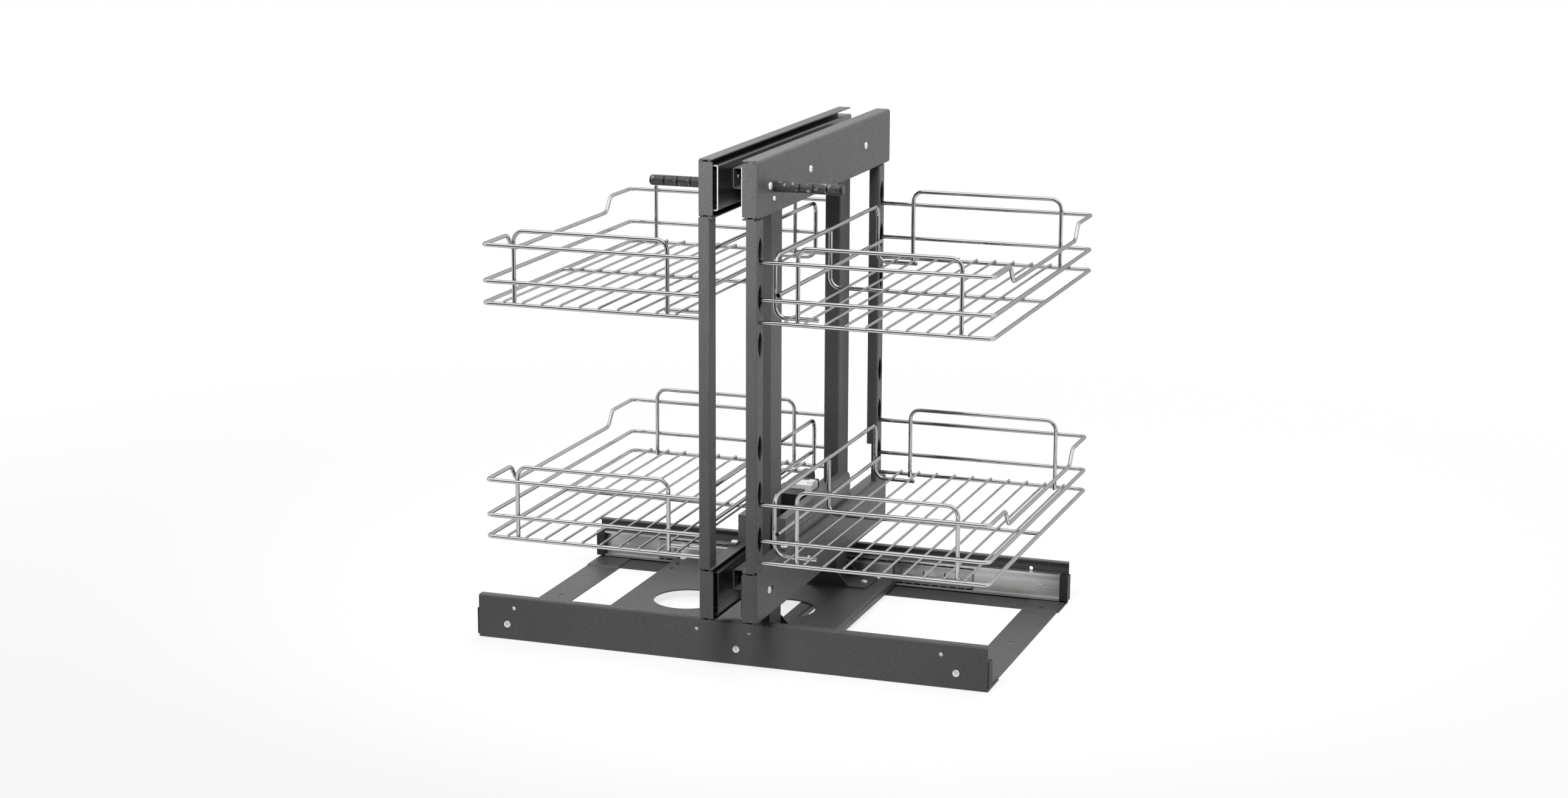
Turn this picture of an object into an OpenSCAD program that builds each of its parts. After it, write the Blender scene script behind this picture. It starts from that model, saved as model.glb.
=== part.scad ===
// Blind corner pull out. A floor frame carries a plate that slides sideways, and the
// column on that plate carries two frames with wire baskets that pull out forwards.
// X runs along the front rail, Y runs into the cabinet and Z runs up. The modules work
// from the front rail's face, and home() puts the origin at the floor frame's centre.

/* [Floor frame] */
// Width of the floor frame, along the rails
base_w = 650; // [620:5:760]
// Depth of the floor frame, over both rails
base_d = 394; // [380:2:460]
// Height of the front and back rails
rail_h = 55; // [50:1:64]
// Thickness of the sheet steel
sheet = 1.5; // [1.2:0.1:2]
// Outer bend radius of the sheet steel
bend_r = 3.5; // [2.5:0.5:3.5]
// Depth of the lip that is folded in at the top of each rail
lip_d = 11; // [8:1:13]
// Depth of the flange that is folded in at the foot of each rail
foot_d = 52; // [40:1:70]
// Width of the flat side bars
bar_w = 45; // [30:1:60]
// Distance from the end of a rail to the edge of the side bar
bar_inset = 2; // [0:1:20]
// Diameter of the floor screw holes in the side bars
floor_hole_d = 6; // [4:0.5:8]
// Distance from one floor screw hole of a side bar to the next
floor_hole_pitch = 152; // [148:1:154]

/* [Sideways slides] */
// Height of the sideways slides
low_slide_h = 35; // [32:1:36]
// Depth of the sideways slides, from rail to carriage
low_slide_t = 12.7; // [12:0.1:14]
// Sheet thickness of the sideways slides
low_slide_s = 1.2; // [1:0.1:1.4]
// Ball diameter of the sideways slides
low_ball_d = 3; // [2.5:0.1:3.4]
// Distance between the balls of the sideways slides
low_ball_pitch = 12; // [10:1:20]
// Length of the middle members of the sideways slides
low_middle_len = 436; // [420:4:440]
// Height of the sideways slides' centre line above the floor
low_slide_z = 21; // [20.5:0.5:24]
// Offset of the middle members from the middle of the rails
low_middle_x = -20; // [-24:1:-16]
// Length of the rubber stop in each end of a sideways slide
stop_len = 9; // [7:1:10]
// Distance that a rubber stop stands past the end of its rail
stop_out = 2; // [1:0.5:4]
// Width of the oblong holes in the middle members
oval_w = 18; // [10:1:22]
// Height of the oblong holes in the middle members
oval_h = 11; // [6:1:14]
// Distance between the oblong holes in the middle members
oval_pitch = 29; // [26:1:40]

/* [Carriage] */
// Width of the carriage plate
carriage_w = 306; // [290:2:310]
// Offset of the carriage from the middle of the rails
carriage_x = -56; // [-60:1:-52]
// Height of the carriage plate's top above the floor
carriage_z = 14; // [13.5:0.5:16]
// Thickness of the carriage plate
plate_t = 2; // [1.5:0.1:2.5]
// Depth of the plate's folded sides, over the plate
side_fold = 10; // [8:0.5:10]
// Gap between the plate's edges and the angles that hold it
plate_gap = 1.4; // [1:0.1:3]
// Diameter of the two large holes in the plate
plate_hole_d = 88; // [60:2:100]
// Distance between the two large holes
plate_hole_pitch = 125; // [110:1:140]
// Offset of the large holes from the middle of the plate
plate_hole_shift = -6; // [-12:1:6]
// Depth of the angles' legs under the plate
angle_leg = 20; // [16:1:30]
// Height of the slide angles
angle_h = 20; // [16:1:22]
// Height of the stiffener under the plate
stiffener_h = 7.5; // [5:0.5:7.5]
// Width of the stiffener under the plate
stiffener_w = 20; // [14:1:28]
// Place of the stiffener's middle beside the column's middle
stiffener_shift = -4; // [-10:1:10]

/* [Column] */
// Offset of the column from the middle of the rails
column_x = 26; // [20:1:30]
// Width of the column's posts
post_w = 20; // [16:1:22]
// Depth of the column's posts
post_d = 42; // [30:1:46]
// Wall of the column's tubes
tube_wall = 1.5; // [1.2:0.1:2]
// Outer corner radius of the tubes
tube_r = 2.5; // [2.1:0.1:4]
// Middle of the front post, from the front face
front_post_y = 77; // [68:1:90]
// Middle of the back post, from the front face
back_post_y = 339; // [320:1:339]
// Width of the column's top and bottom rails
cross_w = 28; // [26:1:30]
// Height of the column's top and bottom rails
cross_h = 25; // [20:1:30]
// Place of the cross rails' middle above the slides' centre line
cross_up = 5; // [0:0.5:6]
// Front end of the column's top and bottom rails, from the front face
cross_y = -8; // [-20:1:10]
// Length of the column's top and bottom rails
cross_len = 394; // [380:2:410]
// Depth of the brackets at the feet of the posts
bracket_d = 52; // [50:1:54]
// Width of the brackets over both feet
bracket_w = 102; // [90:2:110]
// Width of a bracket's walls at their foot
bracket_foot_w = 60; // [50:1:70]
// Width of a bracket's walls at their top
bracket_top_w = 17; // [10:1:30]
// Height of the walls of the brackets, over their foot plate
bracket_h = 22; // [16:1:30]
// Sheet thickness of the brackets
bracket_t = 2.5; // [2:0.5:3]
// Distance from the end of a bracket to its screw
bracket_screw_in = 11; // [9:1:14]

/* [Pull out frames] */
// Depth of the pull out frames
frame_d = 507; // [500:1:540]
// Front of the pull out frames, from the front face of the floor frame
frame_y = -65; // [-80:1:-50]
// Underside of the pull out frames above the floor
frame_z = 72.5; // [70:0.5:90]
// Height of the pull out frames
frame_h = 548; // [546:1:700]
// Height of a frame's top rail
top_rail_h = 68.5; // [64:0.5:70]
// Height of a frame's bottom rail
bottom_rail_h = 64.5; // [60:0.5:66]
// Depth of the frame rails' channel
channel_w = 18; // [17:0.5:20]
// Distance between the two frames
frame_gap = 36; // [35:0.5:40]
// Width of the frames' posts
stile_w = 14; // [12:0.5:16]
// Depth of the frames' posts
stile_d = 23; // [20:0.5:28]
// Distance from the back end of the frame to the back post
stile_back = 20; // [12:1:30]
// Height of a basket slot in the posts
slot_h = 33; // [28:1:36]
// Width of a basket slot in the posts
slot_w = 14; // [10:0.5:16]
// Distance between two basket slots
slot_pitch = 54.5; // [50:0.5:58]
// Middle of the topmost slot, above the floor
slot_top_z = 515.5; // [512:0.5:525]
// Middle of the lower group's top slot, above the floor
slot_low_z = 284; // [276:0.5:288]
// Width of the notch in the foot of the back post
notch_w = 7; // [4:0.5:8]
// Height of the notch in the foot of the back post
notch_h = 49; // [20:1:50]

/* [Pull out slides] */
// Height of the pull out slides
slide_h = 53; // [50:0.5:55]
// Sheet thickness of the pull out slides
slide_s = 1.6; // [1.4:0.1:2]
// Ball diameter of the pull out slides
ball_d = 4.4; // [4:0.1:4.8]
// Distance between the balls of the pull out slides
ball_pitch = 24; // [18:1:30]
// Length of the pull out slides
slide_len = 492; // [470:2:494]
// Distance from the front of the frame to the front of its slides
slide_inset = 8; // [4:1:10]
// Length that each end of a middle member stays short of its slide
middle_short = 6; // [4:1:12]

/* [Handles] */
// Diameter of the handles
grip_d = 12.5; // [10:0.5:16]
// Length of the handles
grip_len = 83; // [70:1:110]
// Distance from the front of the frame to the handle's middle
grip_y = 63; // [56:1:80]
// Height of the handle's middle below the top of the frame
grip_drop = 37.5; // [30:0.5:42]
// Distance from one ring groove of a handle to the next
groove_pitch = 16.5; // [12:0.5:18]
// Distance from the frame to the first ring groove
groove_start = 31; // [20:1:34]
// Depth of the ring grooves
groove_r = 0.9; // [0.5:0.1:1.4]

/* [Baskets] */
// Diameter of the thick basket wires
wire_d = 5; // [4.4:0.1:5.4]
// Diameter of the floor wires
floor_wire_d = 3; // [2.4:0.1:4]
// Distance from the frame's face to the outermost wire's middle
basket_w = 276; // [260:2:300]
// Rise of the middle wire above the lowest wire
mid_rise = 26.5; // [24:0.5:30]
// Rise of the top wire above the lowest wire
top_rise = 70; // [66:0.5:74]
// Rise of the raised hoops above the lowest wire
hoop_rise = 88; // [80:0.5:96]
// Rise of the inner hoop above the lowest wire
inner_rise = 72; // [60:0.5:80]
// Distance that the outer top wire dips
dip = 19.2; // [12:0.8:24]
// Distance from the basket's end to the place where the top wire starts to dip
dip_start = 58; // [40:1:90]
// Bend radius of the basket wires
wire_bend = 13; // [10:1:18]
// Distance from the frame's face to the inner hoop
inner_gap = 6; // [4:0.5:10]
// Distance from the basket's end wire to the inner hoop
inner_end = 34.5; // [24:0.5:50]
// Length of the inner hoop's feet
inner_foot = 53; // [30:1:60]
// Distance from the frame's face to the raised hoops' near legs
hoop_near = 44; // [36:1:60]
// Distance from the frame's face to the raised hoops' far legs
hoop_far = 238; // [200:1:250]
// Number of floor wires
floor_wires = 10; // [6:1:10]
// Distance from one floor wire to the next
floor_wire_pitch = 24.2; // [18:0.1:24.4]
// Distance from the frame's face to the first floor wire
floor_wire_x = 31; // [24:1:34]
// Place of the cross wire under the floor, from the basket's front wire
cross_wire_y = 237; // [150:1:300]

/* [Interlock] */
// Width of the plastic housings on the frames
housing_w = 11; // [8:0.5:11]
// Distance from the gap between the frames to a housing
housing_in = 1; // [0.5:0.5:3]
// Front end of the housings, from the front face
housing_y = 54; // [50:1:80]
// Length of the housings, over both parts
housing_len = 258; // [220:2:270]
// Height of the housings
housing_h = 35; // [28:1:36]
// Length of the back part of the housings
tower_len = 91; // [70:1:110]
// Width of the interlock block between the frames
lock_w = 20; // [16:1:24]
// Length of the interlock block
lock_len = 84; // [60:1:100]
// Front end of the interlock block, from the front face
lock_y = 157; // [130:1:180]
// Height of the interlock block
lock_h = 53; // [44:1:60]
// Length of the interlock's bar, across the gap
bar_reach = 27; // [24:1:28]
// Depth of the interlock's bar
bar_d = 26; // [16:1:30]
// Thickness of the interlock's bar
bar_t = 8; // [5:0.5:10]
// Depth of the guide groove for the bar
guide_d = 3; // [2:0.5:4]

/* [Fasteners] */
// Diameter of the pan heads
head_d = 9; // [7:0.5:9.5]
// Height of the pan heads
head_h = 2.4; // [1.8:0.1:2.8]
// Diameter of the screw shanks
shank_d = 4; // [3:0.5:4.5]
// Diameter of the spare holes
spare_hole_d = 5; // [3:0.5:5.5]

/* [Hidden] */
// Clearance of a screw shank in its hole, on the diameter
shank_play = 0.2;
// Length of a screw past the sheet that it holds
past = 0.5;
// Running clearance inside a ball slide
run = 0.4;
// Clearance between pieces that are set into each other
fit = 0.1;
// Clearance of the interlock's bar in its guide
bar_play = 0.3;
// Overlap that makes a cut go right through
over = 1;
// Overlap that joins crossing wires
weld = 0.4;
// Share of a slide's depth that its outer member reaches
outer_reach = 0.87;
// Share of a slide's depth at which the middle member's web stands
web_place = 0.3;
// Distance that the middle member stays behind the face of its slide
middle_back = 1.6;
// Inner bend radius of the members of a slide
member_bend = 1;
// Depth to which a basket wire goes into its slot
hook_in = 5;

BLACK = [0.11, 0.11, 0.115];
GRAPHITE = [0.27, 0.275, 0.28];
ZINC = [0.62, 0.63, 0.64];
CHROME = [0.82, 0.83, 0.85];
RUBBER = [0.07, 0.07, 0.07];
PLASTIC = [0.23, 0.235, 0.24];
WHITE = [0.88, 0.89, 0.88];

half_w = base_w / 2;
side_hole_x = half_w - bar_inset - bar_w / 2;
side_hole_ys = [for (i = [-1 : 1]) base_d / 2 + i * floor_hole_pitch];
shank_hole = shank_d + shank_play;

low_inner_len = carriage_w - 10;
low_outer_len = base_w - 2 * stop_len;
low_screw_z = low_slide_z - 1;
low_screw_in = 38;
low_screw_mid = 13;
low_screw_xs = [low_screw_in - half_w, low_screw_mid, half_w - low_screw_in];
// The spare holes near the top of the front and back rails, from the rails' ends and
// on both sides of their middle
front_spare_left = 47;
front_spare_right = 57;
mid_spare_left = 38;
mid_spare_right = 29;
back_spare_left = 27;
back_spare_right = 50;
front_spare_xs = [front_spare_left - half_w, -mid_spare_left, mid_spare_right,
    half_w - front_spare_right];
back_spare_xs = [back_spare_left - half_w, half_w - back_spare_right];
spare_drop = 14;
plate_d = base_d - 2 * (sheet + low_slide_t + plate_gap + sheet);
plate_y = (base_d - plate_d) / 2;
plate_x = carriage_x - carriage_w / 2;
plate_screw_left = 11;
plate_screw_right = 23;
plate_screw_xs = [plate_x + plate_screw_left, plate_x + carriage_w - plate_screw_right];
plate_screw_in = 6;
plate_slot_x = 14;
plate_slot_ys = [33, 55];
plate_slot_l = 10;
plate_slot_w = 4;
under_plate = carriage_z - plate_t;
angle_face = sheet + low_slide_t;

frame_top = frame_z + frame_h;
frame_in = frame_gap / 2;
frame_out = frame_in + channel_w;
upper_slide_z = frame_top - top_rail_h / 2;
lower_slide_z = frame_z + bottom_rail_h / 2;
slide_mount = cross_w / 2;
slide_t = frame_out - sheet - slide_mount;
slide_y = frame_y + slide_inset;
// The screws that hold a frame to its slides, from the slides' front and back ends
slide_screw_front = 36;
slide_screw_mid = 180;
slide_screw_back = 96;
slide_screw_ys = [slide_y + slide_screw_front, slide_y + slide_screw_mid,
    slide_y + slide_len - slide_screw_back];
// The rivet beside the handle, from the frame's front and below the slide's middle
rivet_y = 57;
rivet_drop = 16;
rivet_head_d = 6.5;
column_screw_in = 14;
column_screw_ys = [for (at = [column_screw_in, cross_len / 2, cross_len - column_screw_in])
    cross_y + at];
top_cross_z = upper_slide_z + cross_up - cross_h / 2;
bottom_cross_z = lower_slide_z + cross_up - cross_h / 2;
deck_z = frame_z + bottom_rail_h;
stile_h = frame_h - bottom_rail_h - top_rail_h;
stile_x = frame_out - stile_w;
// On a whole millimetre, so that the parts of a basket wire meet exactly
back_stile_y = round(frame_y + frame_d - stile_back - stile_d);
front_wire_y = frame_y + stile_d / 2;
back_wire_y = back_stile_y + stile_d / 2;
slot_zs = [for (z = [slot_top_z, slot_low_z], i = [0 : 2]) z - i * slot_pitch];
slot_r = (slot_w * slot_w + slot_h * slot_h) / (4 * slot_w);
// A wire rests this far below the middle of its slot, where it touches both edges
wire_seat = sqrt(pow(slot_r - wire_d / 2 - fit, 2) - pow(slot_r - slot_w / 2, 2));
upper_basket_z = slot_top_z - wire_seat - top_rise;
lower_basket_z = slot_low_z - slot_pitch - wire_seat - top_rise;
// The dip is two equal arcs. Each turns by the larger angle of a triangle with sides
// of 3, 4 and 5, so that its ends lie on round numbers.
dip_turn = atan2(4, 3);
dip_r = dip / (2 * (1 - 3 / 5));
dip_len = 2 * dip_r * 4 / 5;
lock_z = bottom_cross_z + cross_h;
// The screwed tab in front of a housing
tab_len = 17;
tab_t = 3;

// Places

// Everything is drawn from the front rail's face and then moved to the frame's centre
module home() {
    translate([0, -base_d / 2, 0]) children();
}

// The outline's first axis becomes Y, its second Z, and it runs along X
module along_x(start, length) {
    translate([start, 0, 0]) rotate([90, 0, 90]) linear_extrude(length) children();
}

// The outline's first axis stays X, its second becomes Z, and it runs along Y
module along_y(start, length) {
    translate([0, start + length, 0]) rotate([90, 0, 0]) linear_extrude(length) children();
}

// The other long side of the floor frame
module at_back() {
    translate([0, base_d, 0]) mirror([0, 1, 0]) children();
}

// What hangs on the column is drawn for the right side, from the column's middle
module on_right() {
    translate([column_x, 0, 0]) children();
}
module on_left() {
    translate([column_x, 0, 0]) mirror([1, 0, 0]) children();
}

// Outlines

module rounded(w, h, r) {
    translate([r, 0]) square([w - 2 * r, h]);
    translate([0, r]) square([w, h - 2 * r]);
    for (x = [r, w - r], y = [r, h - r]) translate([x, y]) circle(r, $fn = 48);
}

// Only the two corners at w are rounded
module far_rounded(w, h, r) {
    square([w - r, h]);
    translate([w / 2, r]) square([w / 2, h - 2 * r]);
    for (y = [r, h - r]) translate([w - r, y]) circle(r, $fn = 48);
}

// A bent channel, open towards zero, with its web at w
module channel(w, h, wall, r) {
    difference() {
        far_rounded(w, h, r);
        translate([-over, wall]) far_rounded(w - wall + over, h - 2 * wall, r - wall);
    }
}

module tube(w, h, wall, r) {
    difference() {
        rounded(w, h, r);
        translate([wall, wall]) rounded(w - 2 * wall, h - 2 * wall, r - wall);
    }
}

module oblong(w, h) {
    square([w - h, h], center = true);
    for (side = [-1, 1]) translate([side * (w - h) / 2, 0]) circle(h / 2, $fn = 32);
}

module pointed_oval(w, r) {
    intersection() {
        translate([r - w / 2, 0]) circle(r, $fn = 96);
        translate([w / 2 - r, 0]) circle(r, $fn = 96);
    }
}

// Fasteners

// A pan head screw that points down from zero, with its head on top
module screw(length, head = head_d) {
    translate([0, 0, -length]) cylinder(h = length + head_h / 2, d = shank_d, $fn = 32);
    intersection() {
        cylinder(h = head_h, d = head, $fn = 48);
        translate([0, 0, head_h - head]) sphere(head, $fn = 64);
    }
}

// The hole for a screw through a sheet of the given thickness, below zero
module screw_hole(thickness, d = shank_hole) {
    translate([0, 0, -thickness - over]) cylinder(h = thickness + 2 * over, d = d, $fn = 32);
}

// Ball slides. The first axis points away from what the slide is fixed to, the second
// is the height from the slide's centre line, and the slide runs along the third.

function race(h, s) = h / 2 - s;
function middle_half(h, s, ball) = race(h, s) - ball - 2 * run;
function inner_half(h, s, ball) = middle_half(h, s, ball) - s - run;

// A channel with its web at zero, whose legs end in lips that hold the balls
module outer_outline(h, t, s, ball) {
    reach = outer_reach * t;
    inside = race(h, s);
    mouth = inside - ball / 2;
    difference() {
        translate([reach, -h / 2]) mirror([1, 0]) far_rounded(reach, h, s + member_bend);
        translate([reach - s, -inside]) mirror([1, 0])
            far_rounded(reach - 2 * s, 2 * inside, member_bend);
        translate([s, -mouth]) square([reach, 2 * mouth]);
    }
}

module middle_outline(h, t, s, ball) {
    top = middle_half(h, s, ball);
    reach = t - middle_back;
    translate([reach, -top]) mirror([1, 0])
        channel(reach - web_place * t, 2 * top, s, s + member_bend);
}

module inner_outline(h, t, s, ball) {
    start = web_place * t + s + run;
    top = inner_half(h, s, ball);
    translate([start, -top]) channel(t - start, 2 * top, s, s + member_bend);
}

// The rows of balls above and below the middle member, each in its retainer strip
module ball_rows(h, t, s, ball, length, pitch) {
    middle = middle_half(h, s, ball) + run + ball / 2;
    count = floor(length / pitch);
    first = (length - (count - 1) * pitch) / 2;
    for (side = [-1, 1]) translate([t / 2, side * middle, 0]) {
        translate([ball / 8, -ball / 2, 0]) cube([ball / 4, ball, length]);
        for (i = [0 : count - 1])
            translate([0, 0, first + i * pitch]) rotate(180) sphere(d = ball, $fn = 32);
    }
}

module on_floor_rail(start) {
    translate([start, sheet, low_slide_z]) rotate([90, 0, 90]) children();
}

module on_column(z, start, length) {
    translate([slide_mount, start + length, z]) rotate([90, 0, 0]) children();
}

// Floor frame

// The rail's face is at zero, and its foot and its shorter lip reach inwards
module rail_outline() {
    difference() {
        translate([foot_d, 0]) mirror([1, 0]) channel(foot_d, rail_h, sheet, bend_r);
        translate([lip_d, rail_h / 2]) square([foot_d, rail_h]);
    }
}

module in_face(x, z) {
    translate([x, 0, z]) rotate([90, 0, 0]) children();
}

module floor_rail(spare_xs) {
    difference() {
        along_x(-half_w, base_w) rail_outline();
        for (x = low_screw_xs) {
            in_face(x, low_screw_z) screw_hole(sheet);
            in_face(x + head_d, low_screw_z) screw_hole(sheet, shank_d / 2);
        }
        for (x = spare_xs) in_face(x, rail_h - spare_drop) screw_hole(sheet, spare_hole_d);
        for (side = [-1, 1])
            translate([side * side_hole_x, side_hole_ys[0], sheet])
                screw_hole(sheet, floor_hole_d);
    }
}
module front_rail() color(GRAPHITE) floor_rail(front_spare_xs);
module back_rail() color(GRAPHITE) at_back() floor_rail(back_spare_xs);

// A flat bar on the floor, with both ends stepped up onto the rails' feet
module side_bar() {
    lap_start = sheet + low_slide_t + fit;
    low_start = foot_d + fit;
    slope = 2 * sheet;
    end_outline = [[lap_start, 2 * sheet], [lap_start, sheet], [low_start, sheet],
        [low_start, 0]];
    far_outline = [for (i = [3 : -1 : 0]) [base_d - end_outline[i].x, end_outline[i].y]];
    inner_outline = [[base_d - low_start - slope, 2 * sheet],
        [base_d - low_start - 2 * slope, sheet],
        [low_start + 2 * slope, sheet], [low_start + slope, 2 * sheet]];
    difference() {
        along_x(half_w - bar_inset - bar_w, bar_w)
            polygon(concat(end_outline, far_outline, inner_outline));
        for (y = side_hole_ys)
            translate([side_hole_x, y, 2 * sheet]) screw_hole(2 * sheet, floor_hole_d);
    }
}
module right_side_bar() color(GRAPHITE) side_bar();
module left_side_bar() color(GRAPHITE) mirror([1, 0, 0]) side_bar();

module low_outer() {
    on_floor_rail(-low_outer_len / 2) difference() {
        linear_extrude(low_outer_len)
            outer_outline(low_slide_h, low_slide_t, low_slide_s, low_ball_d);
        for (x = low_screw_xs)
            translate([low_slide_s, low_screw_z - low_slide_z, x + low_outer_len / 2])
                rotate([0, 90, 0]) screw_hole(low_slide_s);
    }
}
module front_slide_outer() color(ZINC) low_outer();
module back_slide_outer() color(ZINC) at_back() low_outer();

// A rubber stop fills the end of a slide and laps over the rail's edge in a wavy pad
module stop() {
    waves = 4;
    pad_h = low_slide_h - 2;
    wave_d = pad_h / waves;
    translate([fit, -pad_h / 2, low_outer_len / 2 + fit])
        cube([low_slide_t - fit, pad_h, stop_len - fit]);
    translate([-sheet, -pad_h / 2, half_w]) cube([low_slide_t + sheet, pad_h, stop_out / 2]);
    for (i = [0 : waves - 1])
        translate([-sheet, (i + 0.5) * wave_d - pad_h / 2, half_w + stop_out / 2])
            intersection() {
                rotate([0, 90, 0]) cylinder(h = low_slide_t + sheet, d = wave_d, $fn = 48);
                translate([0, -wave_d / 2, 0]) cube([low_slide_t + sheet, wave_d, stop_out / 2]);
            }
}
module stop_pair() {
    on_floor_rail(0) {
        stop();
        mirror([0, 0, 1]) stop();
    }
}
module slide_stops() color(RUBBER) {
    stop_pair();
    at_back() stop_pair();
}

module low_screws() {
    for (x = low_screw_xs) in_face(x, low_screw_z) screw(sheet + low_slide_s + past);
}
module floor_slide_screws() color(CHROME) {
    low_screws();
    at_back() low_screws();
}

module low_middle() {
    count = floor(low_middle_len / oval_pitch) - 1;
    first = (low_middle_len - (count - 1) * oval_pitch) / 2;
    on_floor_rail(low_middle_x - low_middle_len / 2) difference() {
        linear_extrude(low_middle_len)
            middle_outline(low_slide_h, low_slide_t, low_slide_s, low_ball_d);
        for (i = [0 : count - 1])
            translate([0, 0, first + i * oval_pitch]) rotate([90, 0, 90])
                linear_extrude(low_slide_t) rotate(90) oblong(oval_w, oval_h);
    }
}
module front_slide_middle() color(ZINC) low_middle();
module back_slide_middle() color(ZINC) at_back() low_middle();

module low_cages() {
    on_floor_rail(low_middle_x - low_middle_len / 2)
        ball_rows(low_slide_h, low_slide_t, low_slide_s, low_ball_d,
            low_middle_len, low_ball_pitch);
}
module front_ball_cages() color(CHROME) low_cages();
module back_ball_cages() color(CHROME) at_back() low_cages();

// Carriage

module low_inner() {
    on_floor_rail(carriage_x - low_inner_len / 2) linear_extrude(low_inner_len)
        inner_outline(low_slide_h, low_slide_t, low_slide_s, low_ball_d);
}
module front_slide_inner() color(ZINC) low_inner();
module back_slide_inner() color(ZINC) at_back() low_inner();

module plate_screw_places() {
    for (x = plate_screw_xs)
        translate([x, plate_y + plate_screw_in, carriage_z]) children();
}

// The angle that joins the carriage plate to a sideways slide
module slide_angle() {
    difference() {
        along_x(carriage_x - low_inner_len / 2, low_inner_len)
            translate([angle_face, under_plate - sheet]) {
                square([sheet, angle_h]);
                square([angle_leg, sheet]);
            }
        plate_screw_places() screw_hole(plate_t + sheet);
    }
}
module front_slide_angle() color(ZINC) slide_angle();
module back_slide_angle() color(ZINC) at_back() slide_angle();

module bracket_screw_places() {
    for (y = [front_post_y, back_post_y], side = [-1, 1])
        translate([column_x + side * (bracket_w / 2 - bracket_screw_in), y, carriage_z])
            children();
}

// The spare slots and hole at one end of the plate
module plate_spares() {
    for (y = plate_slot_ys)
        translate([plate_x + plate_slot_x, plate_y + y, carriage_z - plate_t - over])
            linear_extrude(plate_t + 2 * over) rotate(90) oblong(plate_slot_l, plate_slot_w);
    translate([plate_x + carriage_w - 2 * plate_slot_x, plate_y + angle_leg + over, carriage_z])
        screw_hole(plate_t);
}

module carriage_plate() color(GRAPHITE) difference() {
    along_y(plate_y, plate_d)
        translate([plate_x + carriage_w, carriage_z - side_fold]) rotate(90)
            channel(side_fold, carriage_w, plate_t, bend_r);
    for (side = [-1, 1])
        translate([carriage_x + plate_hole_shift + side * plate_hole_pitch / 2,
            base_d / 2, carriage_z])
            screw_hole(plate_t, plate_hole_d);
    plate_screw_places() screw_hole(plate_t);
    plate_spares();
    at_back() {
        plate_screw_places() screw_hole(plate_t);
        plate_spares();
    }
    bracket_screw_places() screw_hole(plate_t);
}

module plate_stiffener() color(GRAPHITE) {
    end_in = angle_leg + over;
    along_y(plate_y + end_in, plate_d - 2 * end_in)
        translate([column_x + stiffener_shift + stiffener_w / 2, under_plate - stiffener_h])
            rotate(90) channel(stiffener_h, stiffener_w, sheet, tube_r);
}

// A folded bracket: a foot plate with a sloping wall along its front and its back
module post_bracket(y) {
    walls = [[-bracket_foot_w / 2, 0], [bracket_foot_w / 2, 0],
        [bracket_top_w / 2, bracket_h], [-bracket_top_w / 2, bracket_h]];
    difference() {
        union() {
            translate([column_x - bracket_w / 2, y - bracket_d / 2, carriage_z])
                linear_extrude(bracket_t) rounded(bracket_w, bracket_d, bend_r);
            for (start = [y - bracket_d / 2, y + bracket_d / 2 - bracket_t])
                along_y(start, bracket_t) translate([column_x, carriage_z]) polygon(walls);
        }
        translate([0, 0, bracket_t]) bracket_screw_places() screw_hole(bracket_t);
    }
}
module front_post_bracket() color(GRAPHITE) post_bracket(front_post_y);
module back_post_bracket() color(GRAPHITE) post_bracket(back_post_y);

module carriage_screws() color(CHROME) {
    plate_screw_places() screw(plate_t + sheet + past);
    at_back() plate_screw_places() screw(plate_t + sheet + past);
    translate([0, 0, bracket_t]) bracket_screw_places() screw(bracket_t + plate_t + past);
}

// Column

module column_post(y) {
    foot = carriage_z + bracket_t;
    translate([column_x - post_w / 2, y - post_d / 2, foot])
        linear_extrude(top_cross_z - foot) tube(post_w, post_d, tube_wall, tube_r);
}
module front_column_post() color(GRAPHITE) column_post(front_post_y);
module back_column_post() color(GRAPHITE) column_post(back_post_y);

module cross_rail(z) {
    translate([0, 0, z]) difference() {
        along_y(cross_y, cross_len)
            translate([column_x - cross_w / 2, 0]) tube(cross_w, cross_h, tube_wall, tube_r);
        for (y = column_screw_ys, side = [-1, 1])
            translate([column_x + side * cross_w / 2, y, cross_h / 2])
                rotate([0, 90 * side, 0]) screw_hole(tube_wall);
    }
}
module column_top_rail() color(GRAPHITE) cross_rail(top_cross_z);

// The posts pass through the bottom rail
module column_bottom_rail() color(GRAPHITE) difference() {
    cross_rail(bottom_cross_z);
    for (y = [front_post_y, back_post_y])
        translate([column_x - post_w / 2 - fit, y - post_d / 2 - fit, bottom_cross_z - over])
            linear_extrude(cross_h + 2 * over)
                rounded(post_w + 2 * fit, post_d + 2 * fit, tube_r);
}

module slide_outer(z) {
    difference() {
        on_column(z, slide_y, slide_len) linear_extrude(slide_len)
            outer_outline(slide_h, slide_t, slide_s, ball_d);
        for (y = column_screw_ys)
            translate([slide_mount + slide_s, y, z + cross_up])
                rotate([0, 90, 0]) screw_hole(slide_s);
    }
}
module left_top_slide_outer() color(BLACK) on_left() slide_outer(upper_slide_z);
module left_bottom_slide_outer() color(BLACK) on_left() slide_outer(lower_slide_z);
module right_top_slide_outer() color(BLACK) on_right() slide_outer(upper_slide_z);
module right_bottom_slide_outer() color(BLACK) on_right() slide_outer(lower_slide_z);

module column_screws() {
    for (y = column_screw_ys, z = [lower_slide_z, upper_slide_z])
        translate([slide_mount + slide_s, y, z + cross_up])
            rotate([0, 90, 0]) screw(slide_s + tube_wall + past);
}
module column_slide_screws() color(CHROME) {
    on_left() column_screws();
    on_right() column_screws();
}

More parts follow.
